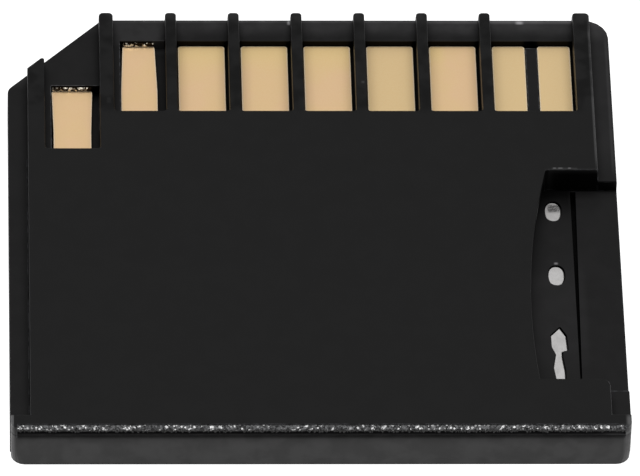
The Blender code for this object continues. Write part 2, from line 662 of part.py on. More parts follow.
def lead_route(x, pad_end, place):
    """Corners of a lead's middle line, from its pad to the foot of its sprung finger."""
    row = finger_rows()[place]
    finger_foot = POCKET_START_X - LEAD_WIDTH / 2
    if place == NESTED_LEAD_COUNT:
        return [(x, pad_end, 0), (x, row, LEAD_BEND_RADIUS), (finger_foot, row, 0)]
    column = FIRST_COLUMN_X - place * COLUMN_PITCH
    aisle = back(FIRST_AISLE - place * AISLE_PITCH)
    return [(x, pad_end, 0), (x, aisle, LEAD_BEND_RADIUS), (column, aisle, LEAD_BEND_RADIUS),
            (column, row, LEAD_BEND_RADIUS), (finger_foot, row, 0)]


def finger_stations(row, start_x, count=16):
    """Places along a sprung finger as (x, y, half width, rise above the deck's contacts)."""
    end_x = POCKET_START_X + POCKET_LENGTH - LEAD_WIDTH
    bends = [(0.0, 0.0), (0.30, -FINGER_DIP), (0.42, -FINGER_DIP), (0.85, FINGER_LIFT),
             (1.0, FINGER_LIFT - FINGER_TIP_DROP)]
    stations = []
    for i in range(1, count + 1):
        share = i / count
        for (low, low_rise), (high, high_rise) in zip(bends, bends[1:]):
            if low <= share <= high:
                blend = (1 - math.cos(math.pi * (share - low) / (high - low))) / 2
                rise = low_rise + (high_rise - low_rise) * blend
                break
        width = FINGER_WIDTH + (FINGER_TIP_WIDTH - FINGER_WIDTH) * share
        stations.append((start_x + (end_x - start_x) * share, row, width / 2, rise))
    return stations


def contact_stations(number, grow=0.0, with_finger=True):
    """Places along one contact from its pad's front edge to its end."""
    x, front_width, width, front, rear, place = contact_plan()[number]
    pad_front = back(front + SEAT_GAP) + grow
    pad_end = back(rear + PAD_UNDER_PLATE)
    taper_end = pad_front + (pad_end - pad_front) * PAD_TAPER_SHARE
    front_half = front_width / 2 + grow
    half = width / 2 + grow
    stations = []
    for step in range(4):
        angle = math.pi / 2 * step / 3
        stations.append((x, pad_front - PAD_CORNER_RADIUS * (1 - math.cos(angle)),
                         front_half - PAD_CORNER_RADIUS * (1 - math.sin(angle)), 0.0))
    stations += [(x, taper_end, half, 0.0), (x, pad_end - grow, half, 0.0)]
    neck = pad_end - LEAD_SHOULDER
    lead_half = LEAD_WIDTH / 2 + grow
    if place is None:
        return stations + [(x, neck - grow, half / 2, 0.0)]
    for point in rounded(lead_route(x, neck, place), closed=False, steps=3):
        stations.append((*point, lead_half, 0.0))
    last_x, row = stations[-1][:2]
    if with_finger:
        stations.append((last_x + LEAD_WIDTH / 2, row, FINGER_WIDTH / 2, 0.0))
        stations += finger_stations(row, last_x + LEAD_WIDTH / 2)
    else:
        stations.append((BAY_END_X + LEAD_WIDTH, row, FINGER_WIDTH / 2 + grow, 0.0))
    return stations


def add_ribbon(shape, stations, low, high):
    """Flat strip of metal through its stations, mitred where it turns."""
    sections = []
    for i, (x, y, half, rise) in enumerate(stations):
        before = stations[max(i - 1, 0)]
        after = stations[min(i + 1, len(stations) - 1)]
        in_length = math.hypot(x - before[0], y - before[1]) or 1.0
        out_length = math.hypot(after[0] - x, after[1] - y) or 1.0
        in_step = ((x - before[0]) / in_length, (y - before[1]) / in_length)
        out_step = ((after[0] - x) / out_length, (after[1] - y) / out_length)
        if i == 0:
            in_step = out_step
        if i == len(stations) - 1:
            out_step = in_step
        mitre = 1 + in_step[0] * out_step[0] + in_step[1] * out_step[1]
        across = (-(in_step[1] + out_step[1]) / mitre * half, (in_step[0] + out_step[0]) / mitre * half)
        left = (x + across[0], y + across[1])
        right = (x - across[0], y - across[1])
        sections.append([(*left, low + rise), (*right, low + rise), (*right, high + rise), (*left, high + rise)])
    add_loops(shape, sections)


def make_channels():
    """Guide that cuts the leads' channels into the upper half, each a named gap wider than its lead."""
    def fill(shape):
        for number in contact_plan():
            add_ribbon(shape, contact_stations(number, SEAT_GAP, with_finger=False),
                       0.0, CONTACT_TOP + SEAT_GAP)
    return new_object("channel_cutter", fill)


def make_contact(number, material):
    """One stamped contact: pad, lead and sprung finger in one strip."""
    def fill(shape):
        add_ribbon(shape, contact_stations(number), CONTACT_LOW, CONTACT_TOP)
    item = new_object(f"contact_{number}", fill)
    finish(item, material)
    return item


def make_card_grip_spring(material):
    """Thin strip under the slot's floor, with a raised pad in each of the floor's windows."""
    low_y, high_y = grip_spring_span()
    top = DECK_TOP - GRIP_SPRING_SKIN - SEAT_GAP
    half = GRIP_SPRING_WIDTH / 2
    strip = prisms("card_grip_spring",
                   [box_outline(GRIP_SPRING_X - half, GRIP_SPRING_X + half, low_y, high_y)], top - METAL, top)
    crown = DECK_TOP - RAISED_PAD_DROP

    def fill(shape):
        for outline in raised_pad_outlines():
            add_stack(shape, [(outline, top - METAL / 2), (outline, crown - WINDOW_GAP / 2),
                              (inset(outline, WINDOW_GAP / 2), crown)])
    boolean(strip, new_object("raised_pad_tool", fill), "UNION")
    finish(strip, material)
    return strip


def main():
    """Build every piece of the adapter."""
    for item in list(bpy.data.objects):
        bpy.data.objects.remove(item, do_unlink=True)
    shell_black = plastic("shell_black", (0.016, 0.016, 0.017), 0.5)
    contact_gold = metal("contact_gold", (0.87, 0.66, 0.38), 0.3)
    spring_steel = metal("spring_steel", (0.62, 0.61, 0.60), 0.3)
    make_label_side_shell(shell_black)
    make_contact_side_shell(shell_black)
    for number in sorted(contact_plan()):
        make_contact(number, contact_gold)
    make_card_grip_spring(spring_steel)


main()
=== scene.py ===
"""Looks of the short memory card adapter: its finishes, its rough trim, the studio and the camera.

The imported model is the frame. It lies on its label face, +Y points to the leading edge with the contact
pads and +X to the side slot. Lengths are in metres, apart from the tables of places on the adapter, which
are in millimetres.
"""

import math
import random

import bmesh
import bpy
from bpy.props import FloatProperty, FloatVectorProperty, IntProperty, PointerProperty
from mathutils import Matrix, Vector


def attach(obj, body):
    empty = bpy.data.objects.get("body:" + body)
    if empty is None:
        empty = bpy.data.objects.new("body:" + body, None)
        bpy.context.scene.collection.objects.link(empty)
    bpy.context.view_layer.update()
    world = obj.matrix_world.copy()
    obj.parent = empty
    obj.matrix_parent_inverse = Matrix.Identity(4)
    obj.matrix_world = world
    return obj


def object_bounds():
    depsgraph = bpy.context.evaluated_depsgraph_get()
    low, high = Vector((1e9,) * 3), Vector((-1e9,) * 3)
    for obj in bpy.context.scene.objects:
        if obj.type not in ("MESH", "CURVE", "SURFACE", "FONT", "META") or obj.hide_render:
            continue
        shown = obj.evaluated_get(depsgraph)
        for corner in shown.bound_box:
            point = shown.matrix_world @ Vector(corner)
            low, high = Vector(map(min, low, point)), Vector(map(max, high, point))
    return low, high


bl_info = {
    "name": "Short Memory Card Adapter",
    "version": (1, 0, 0),
    "blender": (4, 5, 0),
    "location": "3D View > Sidebar > Card Adapter",
    "description": "Finishes the short memory card adapter and sets up its studio and camera",
    "category": "Object",
}

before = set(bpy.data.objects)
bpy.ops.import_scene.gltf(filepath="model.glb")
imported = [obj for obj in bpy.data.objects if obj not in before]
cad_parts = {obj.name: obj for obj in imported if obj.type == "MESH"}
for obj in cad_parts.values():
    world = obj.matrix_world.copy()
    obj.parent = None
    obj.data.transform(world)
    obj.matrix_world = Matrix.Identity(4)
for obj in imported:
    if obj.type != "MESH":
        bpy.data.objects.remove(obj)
MM = 0.001
CAD_LOW, CAD_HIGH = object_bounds()
CONTACTS = [f"contact_{number}" for number in range(1, 10)]
BLACK = (0, 0, 0)
WHITE = (1.0, 1.0, 1.0)

# Soft-edged boxes on the adapter, in millimetres: centre, half size and width of the fade. A lighter place
# (mostly painted highlights and sheen, with a few nicks and marks) or one of painted light in shade ends
# with how many times lighter it is than the plastic, and a dark one (painted shade), a cloudy or a glossy
# one with its level. A calm place has no painted edge highlights.
REAR_FACE = ((0, -11.65, 0.3), (50, 0.04, 0.55), (1, 0.10, 1.05), 0.52)
# Painted shade on the notch's front wall.
NOTCH_WALL = ((10.9, 2.43, 1.30), (1.3, 0.05, 0.50), (0.5, 0.03, 0.35), 0.90)
# Painted highlights down both ends of the grip.
GRIP_END_HIGHLIGHTS = [
    ((-11.96, -11.60, 1.0), (0.06, 0.4, 0.9), (0.14, 0.4, 0.1), 8.0),
    ((11.88, -11.55, 1.0), (0.12, 0.5, 0.9), (0.14, 0.4, 0.1), 4.5),
]
GRIP_CLOUDS = ((0, -11.65, 1.0), (12, 0.10, 1.1), (1, 0.10, 0.1), 0.35)
# Painted light in the dark groove under the torn lip, more at its right end.
GROOVE_UNDER_LIP = [
    ((0, -11.52, 1.68), (11.7, 0.14, 0.08), (0.1, 0.05, 0.04), 3.6),
    ((11.7, -11.52, 1.68), (0.2, 0.14, 0.08), (1.0, 0.05, 0.04), 8.0),
]

PLATE_PLACES = {
    "lighter": [
        # Painted sheen on the front ends of the ribs.
        ((3.0, 11.65, 2.1), (9.0, 0.30, 0.7), (6.0, 0.80, 0.3), 2.3),
        # Painted highlight along the edge of the notch, with three nicks.
        ((9.9, 2.50, 2.1), (0.45, 0.02, 0.1), (0.1, 0.05, 0.1), 3.0),
        ((9.51, 2.52, 2.1), (0.03, 0.01, 0.1), (0.05, 0.04, 0.1), 12.0),
        ((9.74, 2.52, 2.1), (0.06, 0.01, 0.1), (0.05, 0.04, 0.1), 12.0),
        ((10.10, 2.52, 2.1), (0.03, 0.01, 0.1), (0.05, 0.04, 0.1), 14.0),
        # Painted highlight along the right edge of the plate.
        ((11.17, 6.8, 2.1), (0.01, 3.2, 0.1), (0.06, 1.5, 0.3), 6.0),
        # Painted highlights at both ends of the grip's top edge.
        ((-11.96, -11.35, 2.1), (0.08, 0.25, 0.1), (0.04, 0.25, 0.1), 12.0),
        ((11.90, -11.32, 2.1), (0.04, 0.10, 0.1), (0.16, 0.35, 0.1), 11.0),
        *GRIP_END_HIGHLIGHTS,
        # Two small marks, beside the first window and behind the others.
        ((-8.0, 6.35, 2.1), (0.04, 0.10, 0.1), (0.08, 0.10, 0.1), 2.5),
        ((2.09, 7.38, 2.1), (0.03, 0.03, 0.1), (0.06, 0.06, 0.1), 4.0),
    ],
    "calm": [
        # Round the side slot and round the windows.
        ((9.25, -3.5, 2.1), (1.75, 5.6, 1.0), (0.1, 0.2, 0.1)),
        ((1.4, 7.9, 2.1), (9.6, 2.6, 1.0), (0.1, 0.2, 0.1)),
    ],
    "dark": [
        NOTCH_WALL,
        # Painted shade on the wall of the finger scoop.
        ((8.4, -3.5, 1.50), (0.8, 5.9, 0.55), (0.2, 0.2, 0.04), 0.7),
    ],
    "cloudy": [
        # The plate's front with the ribs.
        ((0, 9.0, 2.1), (12, 2.8, 1.0), (1, 0.8, 1.0), 0.50),
        GRIP_CLOUDS,
    ],
    "painted_light_in_shade": GROOVE_UNDER_LIP,
    "glossy": [REAR_FACE],
}

BAR_PLACES = {
    "lighter": [
        # Painted sheen on the bar's front slope, lighter to the right, and on its first stretch.
        ((0.0, 11.65, 1.4), (11.0, 0.25, 0.3), (1.0, 0.85, 0.2), 2.3),
        ((12.0, 11.65, 1.4), (4.0, 0.25, 0.3), (20.0, 0.85, 0.2), 3.4),
        ((-6.8, 11.0, 1.4), (0.8, 0.5, 0.2), (0.4, 0.5, 0.2), 2.4),
        # Painted highlight on the bar's front edge.
        ((2.0, 11.54, 1.4), (7.5, 0.015, 0.1), (3.0, 0.06, 0.1), 6.0),
        ((10.0, 11.54, 1.4), (1.5, 0.015, 0.1), (6.0, 0.15, 0.1), 10.0),
        # A white nick on the bar, a painted glint beside a rib and a painted glint in the side slot.
        ((8.47, 11.49, 1.4), (0.03, 0.02, 0.1), (0.19, 0.12, 0.1), 34.0),
        ((-0.74, 11.47, 1.4), (0.01, 0.05, 0.1), (0.10, 0.10, 0.1), 34.0),
        ((9.45, -1.65, 0.96), (0.02, 0.01, 0.1), (0.09, 0.08, 0.1), 26.0),
        # Painted sheen on the right rail and its front corner, and a painted highlight on its outer edge.
        ((12.0, 8.0, 1.4), (0.9, 3.4, 0.2), (0.3, 2.0, 0.2), 1.7),
        ((12.0, 11.5, 1.4), (0.6, 0.1, 0.2), (0.3, 1.2, 0.2), 4.5),
        ((11.88, 7.0, 1.4), (0.01, 3.0, 0.1), (0.08, 1.5, 0.1), 3.2),
        # The left rail beside the corner cut.
        ((-12.0, 9.3, 1.4), (0.8, 0.9, 0.2), (0.3, 0.8, 0.2), 2.6),
        # Painted light on the floor of the side slot.
        ((9.5, -4.5, 0.96), (0.9, 1.5, 0.2), (0.3, 2.0, 0.2), 1.5),
        *GRIP_END_HIGHLIGHTS,
    ],
    "calm": [
        # Floor of the side slot and the bar's rear edge.
        ((9.25, -3.5, 0.96), (1.75, 5.8, 0.3), (0.1, 0.2, 0.1)),
        ((0, 10.43, 1.40), (11.0, 0.12, 0.08), (0.1, 0.05, 0.05)),
    ],
    "dark": [
        NOTCH_WALL,
        # Painted shade on the front walls of the windows.
        ((1.2, 10.42, 1.15), (9.6, 0.04, 0.20), (0.1, 0.03, 0.04), 1.0),
        ((-9.5, 7.87, 1.15), (1.2, 0.04, 0.20), (0.1, 0.03, 0.04), 1.0),
        # Painted shadow on the floor below the notch's wall.
        ((9.3, 2.43, 0.96), (0.7, 0.20, 0.3), (0.4, 1.80, 0.2), 0.75),
    ],
    "cloudy": [
        # The whole shell a little, and the bar more.
        ((0, 0, 0.9), (50, 50, 5), (1, 1, 1), 0.12),
        ((0, 12, 1.4), (12, 1.5, 1), (1, 0.5, 1), 0.25),
        GRIP_CLOUDS,
    ],
    "painted_light_in_shade": [
        *GROOVE_UNDER_LIP,
        # Painted light over the shade on the floor and front wall beside the pad with the slanted edge.
        ((-5.95, 10.30, 0.96), (0.22, 0.10, 0.05), (0.06, 0.25, 0.05), 1.6),
        ((-5.97, 10.43, 1.20), (0.20, 0.03, 0.20), (0.05, 0.03, 0.05), 3.0),
    ],
    "glossy": [REAR_FACE],
}

# The faint clouds of the plating, as factors of red, green and blue. Then boxes in the same form as above
# with such factors: the front of the middle pads, one middle pad and the last two.
CLOUDED_GOLD = (1.01, 0.99, 1.05)
PAD_TINTS = [
    ((-0.3, 10.41, 1.1), (5.5, 0.30, 1.0), (0.4, 1.60, 1.0), (1.00, 1.03, 0.94)),
    ((3.28, 9.0, 1.1), (1.0, 4.0, 1.0), (0.1, 1.0, 1.0), (0.95, 0.98, 0.96)),
    ((9.0, 9.0, 1.1), (2.0, 4.0, 1.0), (0.3, 1.0, 1.0), (0.945, 0.98, 0.96)),
]

# Painted shade on the grip spring's first raised pad, and the level of the raised pads' tops.
PAD_SHADE = ((9.48, 1.45, 0.9), (0.15, 0.09, 0.3), (0.18, 0.22, 0.1))
RAISED_TOPS = ((9.4, -3.0, 0.92), (3, 20, 0.012), (1, 1, 0.03))

# Dullest and palest facets of torn plastic, the palest partly painted highlight, and sheared metal's burr.
TORN_DARK = (0.012, 0.012, 0.013)
TORN_LIGHT = (0.19, 0.192, 0.197)
BURR_DARK = (0.02, 0.012, 0.006)


class AdapterPlasticSettings(bpy.types.PropertyGroup):
    """Black moulded plastic of both shells."""

    plate_color: FloatVectorProperty(
        name="Plate colour", description="Base colour of the thin plate's matte plastic",
        subtype="COLOR", size=3, min=0, max=1, default=(0.0091, 0.0091, 0.0092))
    bar_color: FloatVectorProperty(
        name="Bar colour", description="Base colour of the front bar and the rails",
        subtype="COLOR", size=3, min=0, max=1, default=(0.0100, 0.0098, 0.0101))
    # Colour of the painted highlights along the plastic's edges.
    edge_highlight_color: FloatVectorProperty(
        name="Edge highlight colour", description="Colour of the painted highlights along the plastic's edges",
        subtype="COLOR", size=3, min=0, max=1, default=(0.104, 0.107, 0.115))
    roughness: FloatProperty(
        name="Roughness", description="Roughness of the moulded surface",
        subtype="FACTOR", min=0, max=1, default=0.42)
    gloss: FloatProperty(
        name="Gloss", description="Weight of the soft gloss over the plastic",
        subtype="FACTOR", min=0, max=1, default=0.20)
    grain_size: FloatProperty(
        name="Grain size", description="Size of the mould's fine grain",
        unit="LENGTH", min=0, default=0.09 * MM)
    cloud_size: FloatProperty(
        name="Cloud size", description="Size of the faint darker clouds",
        unit="LENGTH", min=0, default=0.8 * MM)
    # Width of the painted highlight lines along the plastic's edges.
    edge_width: FloatProperty(
        name="Edge highlight width", description="Width of the painted highlight lines along the edges",
        unit="LENGTH", min=0, default=0.085 * MM)
    shade_reach: FloatProperty(
        name="Shade reach", description="Distance over which corners and gaps darken the plastic",
        unit="LENGTH", min=0, default=0.55 * MM)


class AdapterMetalSettings(bpy.types.PropertyGroup):
    """Gold of the contacts and steel of the grip spring."""

    gold_color: FloatVectorProperty(
        name="Gold colour", description="Colour of the contacts' pale gold plating",
        subtype="COLOR", size=3, min=0, max=1, default=(0.90, 0.67, 0.39))
    # Colour of the painted highlight along the pads' rims; the sheared nicks use it as bare plating.
    rim_color: FloatVectorProperty(
        name="Rim colour", description="Colour of the painted highlight on the pads' rims",
        subtype="COLOR", size=3, min=0, max=1, default=(1.0, 0.92, 0.78))
    steel_color: FloatVectorProperty(
        name="Steel colour", description="Colour of the grip spring's steel",
        subtype="COLOR", size=3, min=0, max=1, default=(0.66, 0.65, 0.645))
    rim_width: FloatProperty(
        name="Rim width", description="Width of the rolled rim round the contacts",
        unit="LENGTH", min=0, default=0.035 * MM)
    gold_roughness: FloatProperty(
        name="Gold roughness", description="Roughness of the plating",
        subtype="FACTOR", min=0, max=1, default=0.60)


class AdapterTrimSettings(bpy.types.PropertyGroup):
    """Rough trim that moulding and cutting leave."""

    lip_height: FloatProperty(
        name="Lip height", description="Height of the torn band along the rear lip",
        unit="LENGTH", min=0, default=0.20 * MM)
    lip_depth: FloatProperty(
        name="Lip depth", description="Depth of the torn band along the rear lip",
        unit="LENGTH", min=0, default=0.16 * MM)
    lip_end_room: FloatProperty(
        name="Lip end room", description="Distance from the grip's sides to the ends of the torn band",
        unit="LENGTH", min=0, default=0.26 * MM)
    lip_swell: FloatProperty(
        name="Lip swell", description="How far the middle of the torn band stands proud",
        unit="LENGTH", min=0, default=0.035 * MM)
    lip_roughness: FloatProperty(
        name="Lip roughness", description="How far the torn surface of the band rises and falls",
        unit="LENGTH", min=0, default=0.030 * MM)
    speck_size: FloatProperty(
        name="Speck size", description="Size of the bright facets in torn plastic and sheared metal",
        unit="LENGTH", min=0, default=0.070 * MM)
    seed: IntProperty(name="Seed", description="Seed of the torn surface's pattern", min=0, default=7)


class AdapterStageSettings(bpy.types.PropertyGroup):
    """Floor, lights and camera."""

    elevation: FloatProperty(
        name="Elevation", description="Camera's angle above the horizon",
        subtype="ANGLE", default=math.radians(45.0))
    turn: FloatProperty(
        name="Turn", description="Camera's turn to the right about its own upright axis",
        subtype="ANGLE", default=math.radians(1.945))
    distance: FloatProperty(
        name="Distance", description="Camera's distance from the adapter's middle",
        unit="LENGTH", default=449.8 * MM)
    lens: FloatProperty(
        name="Lens", description="Focal length in millimetres on a 36 mm sensor",
        unit="CAMERA", min=1, default=644.2)
    floor_light: FloatProperty(
        name="Floor light", description="Brightness that the white floor sends out", min=0, default=1.1)
    sky_light: FloatProperty(
        name="Sky light", description="Brightness of the even studio surround", min=0, default=0.30)
    panel_light: FloatProperty(
        name="Panel light", description="Power of the overhead panel", unit="POWER", min=0, default=8.0)


FLOAT = "NodeSocketFloat"
VECTOR = "NodeSocketVector"
RAY_SAMPLES = 8

# Places of the Mix node's colour sockets, whose names repeat.
MIX_FACTOR, MIX_FIRST, MIX_SECOND, MIX_RESULT = 0, 6, 7, 2


def new_group(name, inputs, outputs):
    """Empty shader node group with named sockets, given as (name, socket type, default)."""
    group = bpy.data.node_groups.new(name, "ShaderNodeTree")
    for socket_name, kind, default in inputs:
        socket = group.interface.new_socket(socket_name, in_out="INPUT", socket_type=kind)
        socket.default_value = default
    for socket_name, kind in outputs:
        group.interface.new_socket(socket_name, in_out="OUTPUT", socket_type=kind)
    return group, group.nodes.new("NodeGroupInput"), group.nodes.new("NodeGroupOutput")


def feed(tree, socket, value):
    """Links a socket to a node's input, or sets the input to a number, vector or colour."""
    if isinstance(value, bpy.types.NodeSocket):
        tree.links.new(value, socket)
    elif isinstance(value, (int, float)):
        socket.default_value = value
    else:
        size = len(socket.default_value)
        socket.default_value = (*value, 1)[:size]


def math_node(tree, operation, first, second=0.0):
    """Math node; each operand is a socket or a number."""
    node = tree.nodes.new("ShaderNodeMath")
    node.operation = operation
    feed(tree, node.inputs[0], first)
    feed(tree, node.inputs[1], second)
    return node.outputs["Value"]


def product(tree, first, second):
    """Product of two masks or numbers."""
    return math_node(tree, "MULTIPLY", first, second)


def inverse(tree, mask):
    """1 minus a mask."""
    return math_node(tree, "SUBTRACT", 1.0, mask)


def scale_for(tree, size):
    """Texture scale that gives features of a size."""
    return math_node(tree, "DIVIDE", 1.0, size)


def vector_node(tree, operation, first, second=(0, 0, 0)):
    """Vector Math node; gives its value for a dot product, and its vector otherwise."""
    node = tree.nodes.new("ShaderNodeVectorMath")
    node.operation = operation
    feed(tree, node.inputs[0], first)
    feed(tree, node.inputs[1], second)
    return node.outputs["Value" if operation == "DOT_PRODUCT" else "Vector"]


def smooth_step(tree, value, low, high, to_low=0.0, to_high=1.0):
    """Soft change from one number to another as the value goes from low to high."""
    node = tree.nodes.new("ShaderNodeMapRange")
    node.interpolation_type = "SMOOTHSTEP"
    numbers = {"Value": value, "From Min": low, "From Max": high, "To Min": to_low, "To Max": to_high}
    for name, number in numbers.items():
        feed(tree, node.inputs[name], number)
    return node.outputs["Result"]


def noise_node(tree, vector, scale, detail, roughness=0.55):
    """Noise texture's factor; the scale is a socket or a number."""
    node = tree.nodes.new("ShaderNodeTexNoise")
    values = {"Vector": vector, "Scale": scale, "Detail": detail, "Roughness": roughness}
    for name, value in values.items():
        feed(tree, node.inputs[name], value)
    return node.outputs[0]


def mix_color(tree, factor, first, second):
    """Mix of two colours by a factor."""
    node = tree.nodes.new("ShaderNodeMix")
    node.data_type = "RGBA"
    feed(tree, node.inputs[MIX_FACTOR], factor)
    feed(tree, node.inputs[MIX_FIRST], first)
    feed(tree, node.inputs[MIX_SECOND], second)
    return node.outputs[MIX_RESULT]


def object_place(tree):
    """Place in the adapter's own frame."""
    return tree.nodes.new("ShaderNodeTexCoord").outputs["Object"]


def grain_group(name):
    """Fine grain: a height for Bump and a slow cloud for colour."""
    group, source, sink = new_group(
        name,
        [("Grain Size", FLOAT, 0.1 * MM), ("Cloud Size", FLOAT, 4 * MM)],
        [("Height", FLOAT), ("Cloud", FLOAT)])
    place = object_place(group)
    fine_scale = scale_for(group, source.outputs["Grain Size"])
    fine = noise_node(group, place, fine_scale, detail=4.0, roughness=0.6)
    cloud = noise_node(group, place, scale_for(group, source.outputs["Cloud Size"]), detail=2.0)
    group.links.new(fine, sink.inputs["Height"])
    group.links.new(smooth_step(group, cloud, 0.35, 0.65), sink.inputs["Cloud"])
    return group


def corner_group(name):
    """Shade deep in corners and gaps, where black plastic sends hardly any light back."""
    group, source, sink = new_group(
        name,
        [("Reach", FLOAT, 0.5 * MM), ("Start", FLOAT, 0.65), ("Full", FLOAT, 0.25)],
        [("Shade", FLOAT)])
    node = group.nodes.new("ShaderNodeAmbientOcclusion")
    node.samples = RAY_SAMPLES
    group.links.new(source.outputs["Reach"], node.inputs["Distance"])
    full, start = source.outputs["Full"], source.outputs["Start"]
    shade = smooth_step(group, node.outputs["AO"], full, start, 1.0, 0.0)
    group.links.new(shade, sink.inputs["Shade"])
    return group


def edge_group(name):
    """Painted highlights in broken lines along the edges."""
    group, source, sink = new_group(
        name,
        [("Width", FLOAT, 0.03 * MM), ("Patch Size", FLOAT, 0.4 * MM), ("Cover", FLOAT, 0.5)],
        [("Edge", FLOAT)])
    soft = group.nodes.new("ShaderNodeBevel")
    soft.samples = RAY_SAMPLES
    group.links.new(source.outputs["Width"], soft.inputs["Radius"])
    sharp = group.nodes.new("ShaderNodeNewGeometry").outputs["True Normal"]
    # The rounded normal leans away from the true one near an edge.
    bend = inverse(group, vector_node(group, "DOT_PRODUCT", soft.outputs["Normal"], sharp))
    patch = noise_node(group, object_place(group), scale_for(group, source.outputs["Patch Size"]),
                       detail=3.0, roughness=0.7)
    cut = inverse(group, source.outputs["Cover"])
    fade = 0.12
    broken = smooth_step(group, patch, math_node(group, "SUBTRACT", cut, fade),
                         math_node(group, "ADD", cut, fade))
    edge = product(group, smooth_step(group, bend, 0.015, 0.15), broken)
    group.links.new(edge, sink.inputs["Edge"])
    return group


def place_group(name):
    """Soft-edged box on the adapter: 1 inside it, falling to 0 outside."""
    group, source, sink = new_group(
        name,
        [("Centre", VECTOR, (0, 0, 0)), ("Half Size", VECTOR, (MM, MM, MM)),
         ("Fade", VECTOR, (MM, MM, MM))],
        [("Mask", FLOAT)])
    away = vector_node(group, "SUBTRACT", object_place(group), source.outputs["Centre"])
    away = vector_node(group, "ABSOLUTE", away)
    past = vector_node(group, "SUBTRACT", away, source.outputs["Half Size"])
    past = vector_node(group, "DIVIDE", past, source.outputs["Fade"])
    split = group.nodes.new("ShaderNodeSeparateXYZ")
    group.links.new(past, split.inputs["Vector"])
    mask = None
    for axis in "XYZ":
        side = smooth_step(group, split.outputs[axis], 0.0, 1.0, 1.0, 0.0)
        mask = side if mask is None else product(group, mask, side)
    group.links.new(mask, sink.inputs["Mask"])
    return group


def facet_group(name):
    """Small torn or sheared facets: a random level for each one, and a height for Bump."""
    group, source, sink = new_group(
        name,
        [("Facet Size", FLOAT, 0.06 * MM)],
        [("Level", FLOAT), ("Height", FLOAT)])
    place = object_place(group)
    scale = scale_for(group, source.outputs["Facet Size"])
    cells = group.nodes.new("ShaderNodeTexVoronoi")
    group.links.new(place, cells.inputs["Vector"])
    group.links.new(scale, cells.inputs["Scale"])
    level = group.nodes.new("ShaderNodeSeparateColor")
    group.links.new(cells.outputs["Color"], level.inputs["Color"])
    group.links.new(level.outputs["Red"], sink.inputs["Level"])
    group.links.new(noise_node(group, place, scale, detail=2.0), sink.inputs["Height"])
    return group


GROUPS = {
    "Moulded grain": grain_group,
    "Shaded corners": corner_group,
    "Painted edge highlights": edge_group,
    "Place mask": place_group,
    "Torn facets": facet_group,
}


def group_node(tree, name, **values):
    """Group node in a material, with its inputs set. The group is built once and shared."""
    node = tree.nodes.new("ShaderNodeGroup")
    node.node_tree = bpy.data.node_groups.get(name) or GROUPS[name](name)
    for label, value in values.items():
        feed(tree, node.inputs[label.replace("_", " ").title()], value)
    return node.outputs


def place_mask(tree, centre, half_size, fade):
    """Mask of a soft-edged box, given in millimetres."""
    centre, half_size, fade = (Vector(size) * MM for size in (centre, half_size, fade))
    return group_node(tree, "Place mask", centre=centre, half_size=half_size, fade=fade)["Mask"]


def new_material(name):
    """Material with a Principled BSDF; gives the material, its tree and the shader's inputs."""
    material = bpy.data.materials.new(name)
    material.use_nodes = True
    tree = material.node_tree
    return material, tree, tree.nodes["Principled BSDF"].inputs


def add_bump(tree, inputs, height, distance, strength):
    """Bump node into the shader's normal."""
    node = tree.nodes.new("ShaderNodeBump")
    node.inputs["Strength"].default_value = strength
    node.inputs["Distance"].default_value = distance
    tree.links.new(height, node.inputs["Height"])
    tree.links.new(node.outputs["Normal"], inputs["Normal"])


def add_grain(tree, inputs, height, roughness, swing, depth, strength):
    """Roughness that swings with the grain's height, and the grain's bump."""
    usual_low, usual_high = 0.3, 0.7
    rough = smooth_step(tree, height, usual_low, usual_high, roughness - swing, roughness + swing)
    tree.links.new(rough, inputs["Roughness"])
    add_bump(tree, inputs, height, depth, strength)


def scaled(color, factor):
    """Colour made lighter or darker."""
    return tuple(min(1.0, value * factor) for value in color)


def shaded(color, shades):
    """Colour with its red, green and blue each changed by a factor."""
    return tuple(value * shade for value, shade in zip(color, shades))


